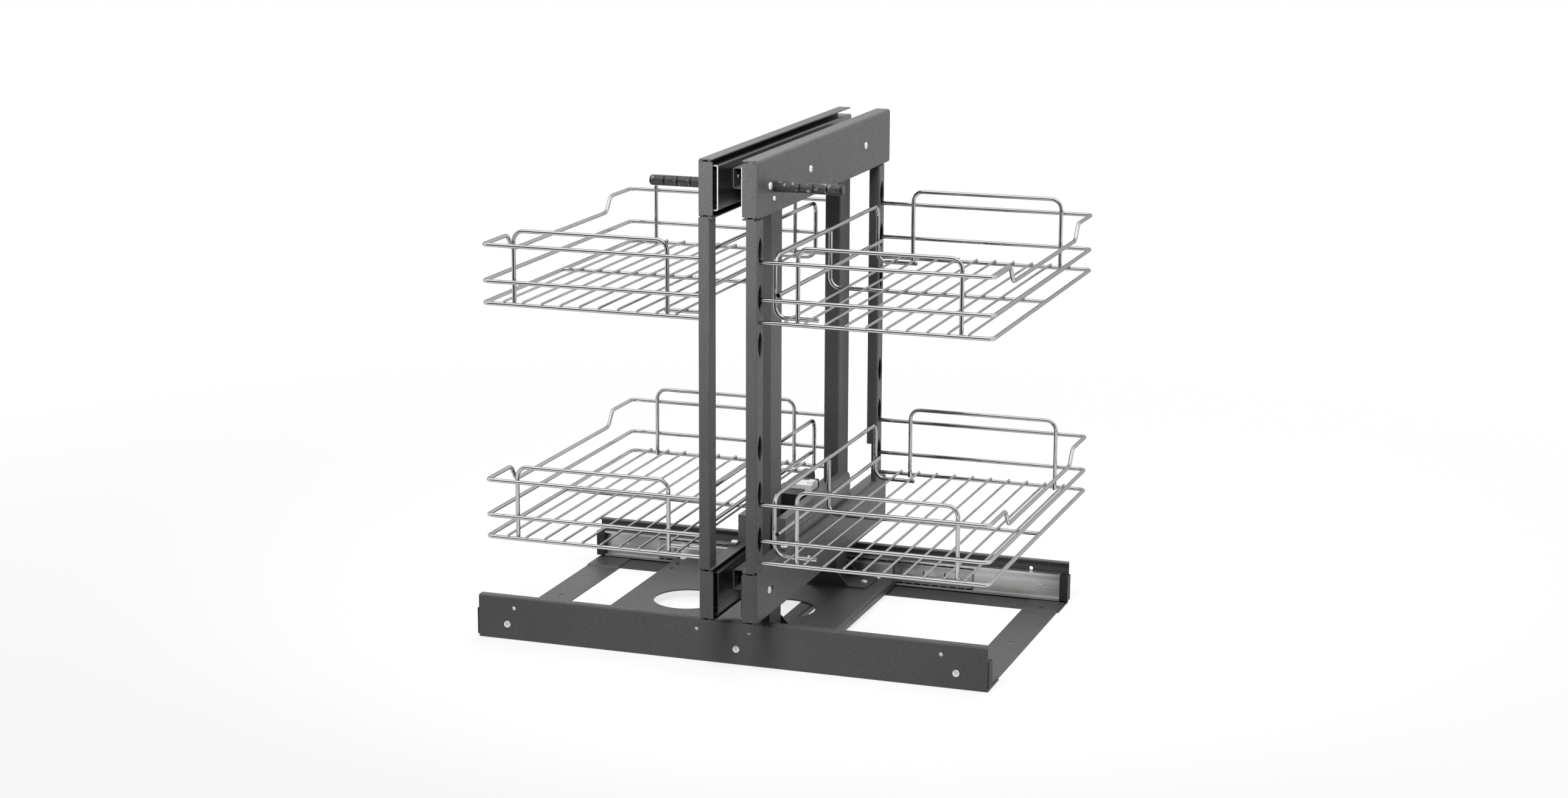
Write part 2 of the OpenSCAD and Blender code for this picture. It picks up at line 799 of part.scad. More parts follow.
// The middle member of a pull out slide, with its rows of balls
module slide_middle(z) {
    length = slide_len - 2 * middle_short;
    on_column(z, slide_y + middle_short, length) {
        linear_extrude(length) middle_outline(slide_h, slide_t, slide_s, ball_d);
        ball_rows(slide_h, slide_t, slide_s, ball_d, length, ball_pitch);
    }
}
module left_top_slide_middle() color(BLACK) on_left() slide_middle(upper_slide_z);
module left_bottom_slide_middle() color(BLACK) on_left() slide_middle(lower_slide_z);
module right_top_slide_middle() color(BLACK) on_right() slide_middle(upper_slide_z);
module right_bottom_slide_middle() color(BLACK) on_right() slide_middle(lower_slide_z);

// Pull out frames

module frame_screw_places() {
    for (y = slide_screw_ys, z = [lower_slide_z, upper_slide_z])
        translate([frame_out, y, z]) rotate([0, 90, 0]) children();
}

module slide_inner(z) {
    difference() {
        on_column(z, slide_y, slide_len) linear_extrude(slide_len)
            inner_outline(slide_h, slide_t, slide_s, ball_d);
        frame_screw_places() screw_hole(sheet + slide_s);
    }
}
module left_top_slide_inner() color(BLACK) on_left() slide_inner(upper_slide_z);
module left_bottom_slide_inner() color(BLACK) on_left() slide_inner(lower_slide_z);
module right_top_slide_inner() color(BLACK) on_right() slide_inner(upper_slide_z);
module right_bottom_slide_inner() color(BLACK) on_right() slide_inner(lower_slide_z);

// A channel that wraps its slide. Its web is folded round to a cap at the front, which
// stays short of the flanges.
module frame_rail(z, h) {
    relief_d = 3;
    cap_h = h - 2 * bend_r;
    difference() {
        union() {
            along_y(frame_y + bend_r, frame_d - bend_r)
                translate([frame_in, z]) channel(channel_w, h, sheet, bend_r);
            for (edge = [z, z + h - sheet])
                translate([frame_in, frame_y, edge]) cube([channel_w - bend_r, bend_r, sheet]);
            translate([frame_in, frame_y, z + bend_r]) linear_extrude(cap_h) intersection() {
                channel(channel_w, cap_h, sheet, bend_r);
                square([channel_w, bend_r]);
            }
        }
        for (edge = [z + bend_r, z + h - bend_r])
            translate([frame_in + channel_w / 2, frame_y + sheet, edge]) rotate([90, 0, 0])
                screw_hole(sheet, relief_d);
        frame_screw_places() screw_hole(sheet);
    }
}

module rivet_place() {
    translate([frame_out, frame_y + rivet_y, upper_slide_z - rivet_drop])
        rotate([0, 90, 0]) children();
}

module top_rail() {
    difference() {
        frame_rail(frame_top - top_rail_h, top_rail_h);
        rivet_place() screw_hole(sheet);
    }
}
module left_top_rail() color(GRAPHITE) on_left() top_rail();
module right_top_rail() color(GRAPHITE) on_right() top_rail();

module housing_screw_place() {
    translate([frame_out - channel_w / 4, housing_y - tab_len / 2, deck_z]) children();
}

module bottom_rail() {
    difference() {
        frame_rail(frame_z, bottom_rail_h);
        housing_screw_place() screw_hole(sheet);
        translate([frame_out, slide_screw_ys[0] + head_d + shank_d, lower_slide_z])
            rotate([0, 90, 0]) screw_hole(sheet, spare_hole_d);
    }
}
module left_bottom_rail() color(GRAPHITE) on_left() bottom_rail();
module right_bottom_rail() color(GRAPHITE) on_right() bottom_rail();

// A post between the rails, with the slots that the basket wires hook into
module stile(y) {
    difference() {
        translate([stile_x, y, deck_z]) linear_extrude(stile_h)
            tube(stile_w, stile_d, sheet, tube_r);
        for (z = slot_zs)
            translate([frame_out - sheet - over, y + stile_d / 2, z]) rotate([90, 0, 90])
                linear_extrude(sheet + 2 * over) pointed_oval(slot_w, slot_r);
    }
}
module left_front_post() color(GRAPHITE) on_left() stile(frame_y);
module right_front_post() color(GRAPHITE) on_right() stile(frame_y);

module back_stile() {
    difference() {
        stile(back_stile_y);
        translate([stile_x - over, back_stile_y - over, deck_z - over])
            cube([notch_w + over, stile_d + 2 * over, notch_h + over]);
    }
}
module left_back_post() color(GRAPHITE) on_left() back_stile();
module right_back_post() color(GRAPHITE) on_right() back_stile();

// A round handle with ring grooves and a domed end
module handle() {
    r = grip_d / 2;
    translate([frame_out, frame_y + grip_y, frame_top - grip_drop]) rotate([0, 90, 0])
        rotate_extrude($fn = 96) difference() {
            union() {
                square([r, grip_len - r / 2]);
                square([r / 2, grip_len]);
                translate([r / 2, grip_len - r / 2]) circle(r / 2, $fn = 48);
            }
            for (i = [0 : 2])
                translate([r, groove_start + i * groove_pitch]) circle(groove_r, $fn = 32);
        }
}
module left_handle() color(BLACK) on_left() handle();
module right_handle() color(BLACK) on_right() handle();

module frame_screws() {
    frame_screw_places() screw(sheet + slide_s + past);
    rivet_place() screw(sheet, rivet_head_d);
    translate([0, 0, tab_t]) housing_screw_place() screw(tab_t + sheet + past);
}
module left_frame_screws() color(CHROME) on_left() frame_screws();
module right_frame_screws() color(CHROME) on_right() frame_screws();

// Interlock

// A plastic housing on a frame's bottom rail: a box with moulded grooves, a thinner
// plate behind it with one rounded corner, and a screwed tab in front
module lock_housing() {
    groove = 0.8;
    box_len = housing_len - tower_len;
    plate_w = housing_w - 2 * groove;
    corner = 14;
    notches = 8;
    notch_pitch = box_len / notches;
    notch_len = housing_h / 5;
    notch_rows = [for (share = [0.08, 0.42, 0.75]) share * housing_h];
    difference() {
        union() {
            translate([frame_in + housing_in, housing_y, deck_z])
                cube([housing_w, box_len, housing_h]);
            along_x(frame_in + housing_in, plate_w)
                translate([housing_y + box_len - over, deck_z]) {
                    square([tower_len + over - corner, housing_h]);
                    square([tower_len + over, housing_h - corner]);
                    translate([tower_len + over - corner, housing_h - corner])
                        circle(corner, $fn = 64);
                }
            translate([frame_out - channel_w / 2, housing_y - tab_len, deck_z])
                cube([channel_w / 2, tab_len + over, tab_t]);
        }
        for (z = [housing_h / 3, 2 * housing_h / 3])
            translate([frame_in + housing_in + housing_w - groove, housing_y - over, deck_z + z])
                cube([over, box_len + over, groove]);
        for (i = [2 : notches - 1], z = notch_rows)
            translate([frame_in + housing_in + housing_w - groove,
                housing_y + i * notch_pitch, deck_z + z])
                cube([over, groove, notch_len]);
        translate([0, 0, tab_t]) housing_screw_place() screw_hole(tab_t);
    }
}
module left_lock_housing() color(PLASTIC) on_left() lock_housing();
module right_lock_housing() color(PLASTIC) on_right() lock_housing();

guide_y = lock_y + lock_len / 2 - bar_d / 2;
guide_floor = lock_z + lock_h - guide_d;

module interlock_block() color(BLACK) {
    ribs = 5;
    rib_pitch = lock_len / (ribs + 1);
    rib_w = 2;
    difference() {
        translate([column_x - lock_w / 2, lock_y, lock_z]) cube([lock_w, lock_len, lock_h]);
        translate([column_x - lock_w, guide_y - bar_play, guide_floor])
            cube([2 * lock_w, bar_d + 2 * bar_play, guide_d + over]);
        for (i = [1 : ribs], side = [-1, 1])
            translate([column_x + side * lock_w / 2 - rib_w / 2, lock_y + i * rib_pitch,
                lock_z + lock_h / 4])
                cube([rib_w, rib_w, lock_h / 2]);
    }
}

// The bar slides across in the block's guide, and its nose reaches over one housing
module interlock_bar() color(WHITE) {
    nose = 8;
    lift = 0.05;
    start = column_x - lock_w / 2 + 1;
    translate([start, guide_y, guide_floor + lift]) cube([bar_reach, bar_d, bar_t]);
    translate([start + bar_reach - nose, guide_y + bar_d / 4, guide_floor + bar_t - over])
        cube([nose, bar_d / 2, over + guide_d]);
}

// Baskets. The wires are drawn from the column's middle, with the lowest wire at zero.

wire_start = frame_out + fit;
inner_x = frame_out + inner_gap;
outer_x = frame_out + basket_w;
basket_d = back_wire_y - front_wire_y;

module wire_x(start, end, d = wire_d) {
    translate([start, 0, 0]) rotate([0, 90, 0]) cylinder(h = end - start, d = d, $fn = 32);
}
module wire_y(start, end, d = wire_d) {
    translate([0, end, 0]) rotate([90, 0, 0]) cylinder(h = end - start, d = d, $fn = 32);
}
module wire_z(start, end, d = wire_d) {
    translate([0, 0, start]) cylinder(h = end - start, d = d, $fn = 32);
}

// A bend in the XY plane round the origin, from one angle through a turn
module bend(from, turn, r = wire_bend) {
    rotate(from) rotate_extrude(angle = turn, $fn = 96)
        translate([r, 0]) circle(d = wire_d, $fn = 32);
}

// One wire that leaves the front slot, goes round the basket and enters the back slot
module end_wires(start) {
    turn_x = outer_x - wire_bend;
    wire_x(start, turn_x);
    translate([turn_x, wire_bend, 0]) bend(-90, 90);
    translate([0, basket_d, 0]) wire_x(start, turn_x);
    translate([turn_x, basket_d - wire_bend, 0]) bend(0, 90);
}
module round_wire(start) {
    end_wires(start);
    translate([outer_x, 0, 0]) wire_y(wire_bend, basket_d - wire_bend);
}

// Half of the dip, in the plane of the outer side
module dip_half() {
    rotate([90, 0, 90]) {
        translate([dip_start, -dip_r]) bend(90 - dip_turn, dip_turn, dip_r);
        translate([dip_start + dip_len, dip_r - dip]) bend(-90 - dip_turn, dip_turn, dip_r);
    }
}

module dipped_wire(start) {
    dip_stop = dip_start + dip_len;
    end_wires(start);
    translate([outer_x, 0, 0]) {
        wire_y(wire_bend, dip_start);
        wire_y(basket_d - dip_start, basket_d - wire_bend);
        dip_half();
        translate([0, basket_d, 0]) mirror([0, 1, 0]) dip_half();
        translate([0, 0, -dip]) wire_y(dip_stop, basket_d - dip_stop);
    }
}

// A raised hoop beside the end wires
module raised_hoop() {
    near = frame_out + hoop_near;
    far = frame_out + hoop_far;
    top = hoop_rise;
    translate([near, 0, 0]) wire_z(-wire_d / 2, top - wire_bend);
    translate([far, 0, 0]) wire_z(-wire_d / 2, top - wire_bend);
    translate([0, 0, top]) wire_x(near + wire_bend, far - wire_bend);
    rotate([90, 0, 0]) {
        translate([near + wire_bend, top - wire_bend]) bend(90, 90);
        translate([far - wire_bend, top - wire_bend]) bend(0, 90);
    }
}

// The hoop beside the frame, whose feet turn outwards under the floor wires
module inner_hoop() {
    near = inner_end;
    far = basket_d - inner_end;
    translate([inner_x, 0, 0]) {
        for (y = [near, far]) {
            translate([0, y, 0]) wire_z(wire_bend, inner_rise - wire_bend);
            translate([wire_bend, y, wire_bend]) rotate([90, 0, 0]) bend(180, 90);
            translate([0, y, 0]) wire_x(wire_bend, inner_foot);
        }
        translate([0, 0, inner_rise]) wire_y(near + wire_bend, far - wire_bend);
        rotate([90, 0, 90]) {
            translate([near + wire_bend, inner_rise - wire_bend]) bend(90, 90);
            translate([far - wire_bend, inner_rise - wire_bend]) bend(0, 90);
        }
        translate([wire_d - weld, 0, mid_rise])
            wire_y(near - wire_d / 2, far + wire_d / 2);
    }
}

// The wire under the floor, whose inner end turns up beside the frame
module cross_wire() {
    translate([inner_x, cross_wire_y, 0]) {
        wire_x(wire_bend, basket_w - inner_gap - wire_d / 2 + weld);
        translate([wire_bend, 0, wire_bend]) rotate([90, 0, 0]) bend(180, 90);
        wire_z(wire_bend, inner_rise - wire_d / 2 + weld);
    }
}

module basket(z) {
    beside = wire_d - weld;
    floor_wire_z = (wire_d + floor_wire_d) / 2 - weld;
    translate([0, front_wire_y, z]) {
        round_wire(wire_start);
        translate([0, 0, mid_rise]) round_wire(frame_out - hook_in);
        translate([0, 0, top_rise]) dipped_wire(frame_out - hook_in);
        translate([0, beside, 0]) raised_hoop();
        translate([0, basket_d - beside, 0]) raised_hoop();
        inner_hoop();
        cross_wire();
        for (i = [0 : floor_wires - 1])
            translate([frame_out + floor_wire_x + i * floor_wire_pitch, 0, floor_wire_z])
                wire_y(-over, basket_d + over, floor_wire_d);
    }
}
module left_upper_basket() color(CHROME) on_left() basket(upper_basket_z);
module left_lower_basket() color(CHROME) on_left() basket(lower_basket_z);
module right_upper_basket() color(CHROME) on_right() basket(upper_basket_z);
module right_lower_basket() color(CHROME) on_right() basket(lower_basket_z);

home() front_rail();
home() back_rail();
home() left_side_bar();
home() right_side_bar();
home() front_slide_outer();
home() back_slide_outer();
home() slide_stops();
home() floor_slide_screws();
home() front_slide_middle();
home() front_ball_cages();
home() back_slide_middle();
home() back_ball_cages();
home() front_slide_inner();
home() back_slide_inner();
home() front_slide_angle();
home() back_slide_angle();
home() carriage_plate();
home() plate_stiffener();
home() front_post_bracket();
home() back_post_bracket();
home() carriage_screws();
home() front_column_post();
home() back_column_post();
home() column_top_rail();
home() column_bottom_rail();
home() left_top_slide_outer();
home() left_bottom_slide_outer();
home() right_top_slide_outer();
home() right_bottom_slide_outer();
home() column_slide_screws();
home() interlock_block();
home() interlock_bar();
home() left_top_slide_middle();
home() left_bottom_slide_middle();
home() right_top_slide_middle();
home() right_bottom_slide_middle();
home() left_top_slide_inner();
home() left_bottom_slide_inner();
home() right_top_slide_inner();
home() right_bottom_slide_inner();
home() left_top_rail();
home() left_bottom_rail();
home() left_front_post();
home() left_back_post();
home() left_handle();
home() left_frame_screws();
home() left_lock_housing();
home() left_upper_basket();
home() left_lower_basket();
home() right_top_rail();
home() right_bottom_rail();
home() right_front_post();
home() right_back_post();
home() right_handle();
home() right_frame_screws();
home() right_lock_housing();
home() right_upper_basket();
home() right_lower_basket();
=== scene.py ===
# The looks of a blind corner pull out: powder coated steel frames on a sliding carriage, black and zinc
# plated ball slides, chromed wire baskets, round plastic handles and plastic interlock parts.
# Everything is in metres, in the frame of the solids. Sizes that the solids share are in millimetres
# below and are scaled by MM where they are used. The corners of the baskets' rings and dips are bent
# tighter than in the solids, as in the photo.
import math

import bmesh
import bpy
from mathutils import Matrix, Vector


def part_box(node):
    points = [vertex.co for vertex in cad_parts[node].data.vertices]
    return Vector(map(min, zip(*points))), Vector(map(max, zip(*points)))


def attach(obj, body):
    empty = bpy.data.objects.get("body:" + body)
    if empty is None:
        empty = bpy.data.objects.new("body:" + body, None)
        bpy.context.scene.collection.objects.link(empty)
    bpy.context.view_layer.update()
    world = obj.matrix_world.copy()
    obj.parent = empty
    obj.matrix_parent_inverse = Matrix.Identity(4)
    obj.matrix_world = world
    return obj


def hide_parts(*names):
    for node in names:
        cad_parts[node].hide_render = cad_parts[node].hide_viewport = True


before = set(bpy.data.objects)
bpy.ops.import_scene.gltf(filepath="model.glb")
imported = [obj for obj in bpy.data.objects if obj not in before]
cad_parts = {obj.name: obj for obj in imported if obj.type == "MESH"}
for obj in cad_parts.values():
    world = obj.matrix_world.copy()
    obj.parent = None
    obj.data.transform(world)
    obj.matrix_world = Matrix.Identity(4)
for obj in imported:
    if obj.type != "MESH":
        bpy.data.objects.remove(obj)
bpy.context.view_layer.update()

MM = 0.001
SIDES = ("left", "right")
LEVELS = ("upper", "lower")

# Baskets. A rise is a wire's height over the lowest one, and WELD is how deep welded wires sink in
WIRE_D = 5.0
FLOOR_WIRE_D = 3.0
MID_RISE = 26.5
TOP_RISE = 70.0
INNER_RISE = 72.0
WIRE_BEND = 13.0
RING_BEND = 7.0
LOW_RING_GAP = 0.1
DIP = 19.2
DIP_START = 58.0
DIP_LEN = 38.4
DIP_R = 24.0
DIP_BEND = 12.0
HOOK_IN = 5.0
INNER_GAP = 6.0
INNER_END = 34.5
INNER_FOOT = 53.0
HOOP_NEAR = 44.0
HOOP_FAR = 238.0
FLOOR_WIRES = 10
FLOOR_WIRE_PITCH = 24.2
FLOOR_WIRE_X = 31.0
FLOOR_WIRE_PAST = 1.0
CROSS_WIRE_Y = 237.0
WELD = 0.4
BEND_STEP_DEGREES = 7.5
LEAST_BEND_STEPS = 4

# Weld beads of the baskets, with their radius and how far they lie off the middle of the wire
FLOOR_BEAD_R = 0.9
FLOOR_BEAD_OFF = 1.1
HOOP_BEAD_R = 1.3
HOOP_BEAD_OFF = 1.7

# Weld beads in the seams of a frame rail's cap, by their share of the rail's thickness and radius
SEAM = 2.5
SEAM_BEAD_Y = 1.7
SEAM_BEADS = ((0.2, 1.3), (0.3, 1.0), (0.72, 1.1), (0.8, 1.4))

# Screw heads. A head up to LARGEST_RIVET_R is a rivet's
HEAD_H = 2.4
LARGEST_RIVET_R = 3.5
HEAD_RINGS = 16
RING_CROWDING = 0.8
HEAD_SPOKES = 48
TURN_PER_SCREW = 0.7
SHANK_R = 2.0
SHANK_SIDES = 24
MERGE = 0.002

# A head's dome sinks by a share of its height towards the rim, which starts at a share of its radius
DOME_DROP = 0.42
DOME_POWER = 2.2
RIM_START = 0.8
RIM_DROP = 0.75

# The arms of a cross recess narrow outwards. Their wall is in shares of their half width, and their floor
# rises from RECESS_TOE on, a share of their reach
RECESS_DEPTH = 1.8
RECESS_REACH = 2.5
RECESS_HALF = 0.45
RECESS_WIDENING = 1.25
RECESS_TAPER = 0.35
RECESS_WALL = (0.75, 1.35)
RECESS_TOE = 0.25

# The round hole of a rivet, with its wall in shares of the head's radius
RIVET_HOLE = 2.0
RIVET_WALL = (0.36, 0.52)

# The screw of a lock housing is wider than this and lower than this
UPRIGHT_WIDTH = 5.0
UPRIGHT_HEIGHT = 9.0

# Ring grooves of the handles, counted from their foot, where the colour is painted black as shade. A
# groove's half width is a share of the pitch
GROOVE_START = 31.0
GROOVE_PITCH = 16.5
GROOVE_SHARE = 0.05

# Balls of the slides. BALL_HALF is from a slide's middle to the bright tracks above and below it, and a
# ball's half width is a share of the pitch
BALL_HALF = 20.0
BALL_PITCH = 12.0
FIRST_BALL = 8.0
BALL_SHARE = 0.15

# A face looks to the front where its normal's part along Y is below this
FRONT_FACING = -0.9

# Stage. Bands are of a direction's part along an axis, from -1 to 1, or of a place on the floor in metres
WHITE_LIGHT = (1, 1, 1, 1)
ROOM_STRENGTH = 2.6
ROOM_LEVELS = ((0.0, 0.14), (0.35, 0.02), (0.6, 0.014), (0.74, 0.08), (0.86, 0.65))
WHITE_BEHIND = (-0.3, 0.4)
WHITE_BESIDE = (0.6, 0.75)
SOFT_LIGHT_BAND = (-0.6, 0.6)
SOFT_LIGHT = (0.12, 0.42)
FLOOR_RADIUS = 1.9
FLOOR_FADE = (0.7, 1.8)
FLOOR_LIFT = 0.78
FLOOR_LIGHT_BAND = (-0.9, 0.2)
FLOOR_LIGHT = (0.03, 0.5)

# Camera
CAMERA_PLACE = (1.1795, -3.3805, 1.0962)
CAMERA_AZIMUTH = 19.172
CAMERA_ELEVATION = 12.766
CAMERA_ROLL = 0.213
CAMERA_LENS = 67.836
SENSOR_W = 36.0


# Node helpers

def start_material(name):
    material = bpy.data.materials.new(name)
    material.use_nodes = True
    return material, material.node_tree, material.node_tree.nodes["Principled BSDF"]


def add(tree, kind, inputs=None, **settings):
    """A new node with its settings and the values of its inputs."""
    made = tree.nodes.new(kind)
    for key, value in settings.items():
        setattr(made, key, value)
    for key, value in (inputs or {}).items():
        made.inputs[key].default_value = value
    return made


def place(tree, stretch=(1, 1, 1)):
    """The point on the surface in the frame's metres, stretched along each axis."""
    where = add(tree, "ShaderNodeTexCoord")
    mapping = add(tree, "ShaderNodeMapping", {"Scale": stretch})
    tree.links.new(where.outputs["Object"], mapping.inputs["Vector"])
    return mapping.outputs["Vector"]


def part_along(tree, vector, axis):
    """The part of a vector along X, Y or Z."""
    parts = add(tree, "ShaderNodeSeparateXYZ")
    tree.links.new(vector, parts.inputs["Vector"])
    return parts.outputs[axis]


def noise(tree, scale, detail=2.0, stretch=(1, 1, 1)):
    """Noise with its scale per metre, drawn out along an axis where stretch is below one."""
    made = add(tree, "ShaderNodeTexNoise", {"Scale": scale, "Detail": detail})
    tree.links.new(place(tree, stretch), made.inputs["Vector"])
    return made.outputs[0]


def map_range(tree, value, source, result=(0, 1), curve="LINEAR"):
    """A value laid from one band of low and high end to another, and kept within that."""
    ends = {"From Min": source[0], "From Max": source[1], "To Min": result[0], "To Max": result[1]}
    made = add(tree, "ShaderNodeMapRange", ends, interpolation_type=curve)
    tree.links.new(value, made.inputs["Value"])
    return made.outputs["Result"]


def spread(tree, value, low, high):
    """A noise value from its usual band of 0.3 to 0.7 to the band from low to high."""
    return map_range(tree, value, (0.3, 0.7), (low, high))


def math_node(tree, operation, first, second=None):
    made = add(tree, "ShaderNodeMath", operation=operation)
    for socket, value in zip(made.inputs, (first, second)):
        if value is None:
            continue
        if isinstance(value, (int, float)):
            socket.default_value = value
        else:
            tree.links.new(value, socket)
    return made.outputs["Value"]


def product(tree, first, *others):
    for other in others:
        first = math_node(tree, "MULTIPLY", first, other)
    return first


def off_mark(tree, before, pitch):
    """How far a place lies off the nearest of the marks at an even pitch, as a share of the pitch."""
    share = math_node(tree, "FRACT", math_node(tree, "DIVIDE", before, pitch * MM))
    return math_node(tree, "ABSOLUTE", math_node(tree, "SUBTRACT", share, 0.5))


def grey(tree, value):
    """A grey of this level."""
    made = add(tree, "ShaderNodeCombineColor")
    for channel in ("Red", "Green", "Blue"):
        tree.links.new(value, made.inputs[channel])
    return made.outputs["Color"]


def tinted(tree, value, tint):
    """A grey of this level, multiplied by a tint."""
    made = add(tree, "ShaderNodeMix", {"Factor": 1.0}, data_type="RGBA", blend_type="MULTIPLY")
    tree.links.new(grey(tree, value), made.inputs["A"])
    made.inputs["B"].default_value = (*tint, 1)
    return made.outputs["Result"]


def finish_surface(tree, shader, colour, roughness, relief, strength, depth):
    """Gives a shader its colour, roughness and relief, whose depth is in metres."""
    tree.links.new(colour, shader.inputs["Base Color"])
    tree.links.new(roughness, shader.inputs["Roughness"])
    bump = add(tree, "ShaderNodeBump", {"Strength": strength, "Distance": depth})
    tree.links.new(relief, bump.inputs["Height"])
    tree.links.new(bump.outputs["Normal"], shader.inputs["Normal"])


def shader_mix(tree, share, low, high):
    made = add(tree, "ShaderNodeMixShader")
    tree.links.new(share, made.inputs["Fac"])
    tree.links.new(low, made.inputs[1])
    tree.links.new(high, made.inputs[2])
    return made.outputs["Shader"]


def seen_by(tree, *kinds):
    """One for the rays of these kinds."""
    path = add(tree, "ShaderNodeLightPath")
    share = path.outputs[kinds[0]]
    for kind in kinds[1:]:
        share = math_node(tree, "MAXIMUM", share, path.outputs[kind])
    return share


# Materials

def powder_coat():
    """Graphite powder coat: a fine orange peel with lighter specks, and faint clouding."""
    material, tree, shader = start_material("graphite_powder_coat")
    peel = noise(tree, scale=900, detail=3)
    level = spread(tree, peel, 0.042, 0.08)
    clouds = spread(tree, noise(tree, scale=14), 0.93, 1.07)
    specks = spread(tree, noise(tree, scale=2200), 0.85, 1.2)
    colour = tinted(tree, product(tree, level, clouds, specks), (0.985, 1.0, 1.02))
    roughness = spread(tree, noise(tree, scale=300), 0.4, 0.52)
    finish_surface(tree, shader, colour, roughness, peel, strength=0.35, depth=0.0002)
    return material


def black_steel(name, bare_of=None):
    """Black dipped steel with long streaks along Y. It is bright bare metal where bare_of gives one."""
    material, tree, shader = start_material(name)
    streaks = noise(tree, scale=260, detail=3, stretch=(1, 0.02, 1))
    colour = grey(tree, spread(tree, streaks, 0.010, 0.022))
    if bare_of:
        bare = bare_of(tree)
        mix = add(tree, "ShaderNodeMix", {"B": (0.72, 0.73, 0.74, 1)}, data_type="RGBA")
        tree.links.new(bare, mix.inputs["Factor"])
        tree.links.new(colour, mix.inputs["A"])
        colour = mix.outputs["Result"]
        metallic = product(tree, bare, 0.6)
        tree.links.new(metallic, shader.inputs["Metallic"])
    roughness = spread(tree, noise(tree, scale=60, stretch=(1, 0.1, 1)), 0.24, 0.36)
    finish_surface(tree, shader, colour, roughness, streaks, strength=0.1, depth=0.0001)
    return material


def front_ends(tree):
    """One on the faces that look to the front."""
    normal = add(tree, "ShaderNodeNewGeometry").outputs["True Normal"]
    return math_node(tree, "LESS_THAN", part_along(tree, normal, "Y"), FRONT_FACING)


def ball_rows(z):
    """One beyond BALL_HALF above and below a height, where the balls run."""
    def mask(tree):
        above = math_node(tree, "SUBTRACT", part_along(tree, place(tree), "Z"), z)
        return math_node(tree, "GREATER_THAN", math_node(tree, "ABSOLUTE", above), BALL_HALF * MM)
    return mask


def zinc_plate(name, level, rough):
    """Zinc plated rolled steel with long streaks along X and soft smears."""
    material, tree, shader = start_material(name)
    shader.inputs["Metallic"].default_value = 0.75
    streaks = noise(tree, scale=420, detail=4, stretch=(0.015, 1, 1))
    smears = noise(tree, scale=38, detail=4, stretch=(0.5, 1, 1))
    tone = product(tree, spread(tree, streaks, 0.9 * level, 1.1 * level), spread(tree, smears, 0.82, 1.1))
    roughness = spread(tree, smears, rough - 0.07, rough + 0.1)
    finish_surface(tree, shader, tinted(tree, tone, (1.0, 1.0, 0.985)), roughness, streaks,
                   strength=0.12, depth=0.0001)
    return material


def bright_metal(name, level, rough, grain_scale, depth, metallic, edge):
    """Smooth bright metal. Edge is how much of its colour is left where it is seen at a low angle."""
    material, tree, shader = start_material(name)
    shader.inputs["Metallic"].default_value = metallic
    shader.inputs["Specular Tint"].default_value = (edge, edge, edge, 1)
    ripple = noise(tree, grain_scale)
    colour = tinted(tree, spread(tree, ripple, 0.96 * level, level), (0.99, 1.0, 1.015))
    roughness = spread(tree, noise(tree, 3 * grain_scale), 0.8 * rough, 1.25 * rough)
    finish_surface(tree, shader, colour, roughness, ripple, strength=0.2, depth=depth)
    return material


def balls_in_strip(name, strip_start):
    """Polished balls at an even distance along X, with the darker strip that keeps them between them."""
    material, tree, shader = start_material(name)
    shader.inputs["Metallic"].default_value = 1.0
    first_mark = strip_start + (FIRST_BALL - BALL_PITCH / 2) * MM
    before = math_node(tree, "SUBTRACT", part_along(tree, place(tree), "X"), first_mark)
    ball = math_node(tree, "LESS_THAN", off_mark(tree, before, BALL_PITCH), BALL_SHARE)
    scratches = noise(tree, scale=500, detail=3, stretch=(0.1, 1, 1))
    tone = math_node(tree, "ADD", product(tree, ball, 0.6), spread(tree, scratches, 0.12, 0.22))
    roughness = spread(tree, scratches, 0.12, 0.3)
    finish_surface(tree, shader, tinted(tree, tone, (0.99, 1.0, 1.01)), roughness, scratches,
                   strength=0.15, depth=0.0001)
    return material


def moulded(name, level, rough, grain_scale, depth, tint=(1, 1, 1)):
    """Moulded plastic or rubber with a fine eroded grain."""
    material, tree, shader = start_material(name)
    grain = noise(tree, grain_scale, detail=3)
    clouds = noise(tree, scale=20)
    tone = product(tree, spread(tree, grain, 0.92 * level, 1.08 * level), spread(tree, clouds, 0.94, 1.06))
    roughness = spread(tree, clouds, rough - 0.05, rough + 0.05)
    finish_surface(tree, shader, tinted(tree, tone, tint), roughness, grain, strength=0.4, depth=depth)
    return material


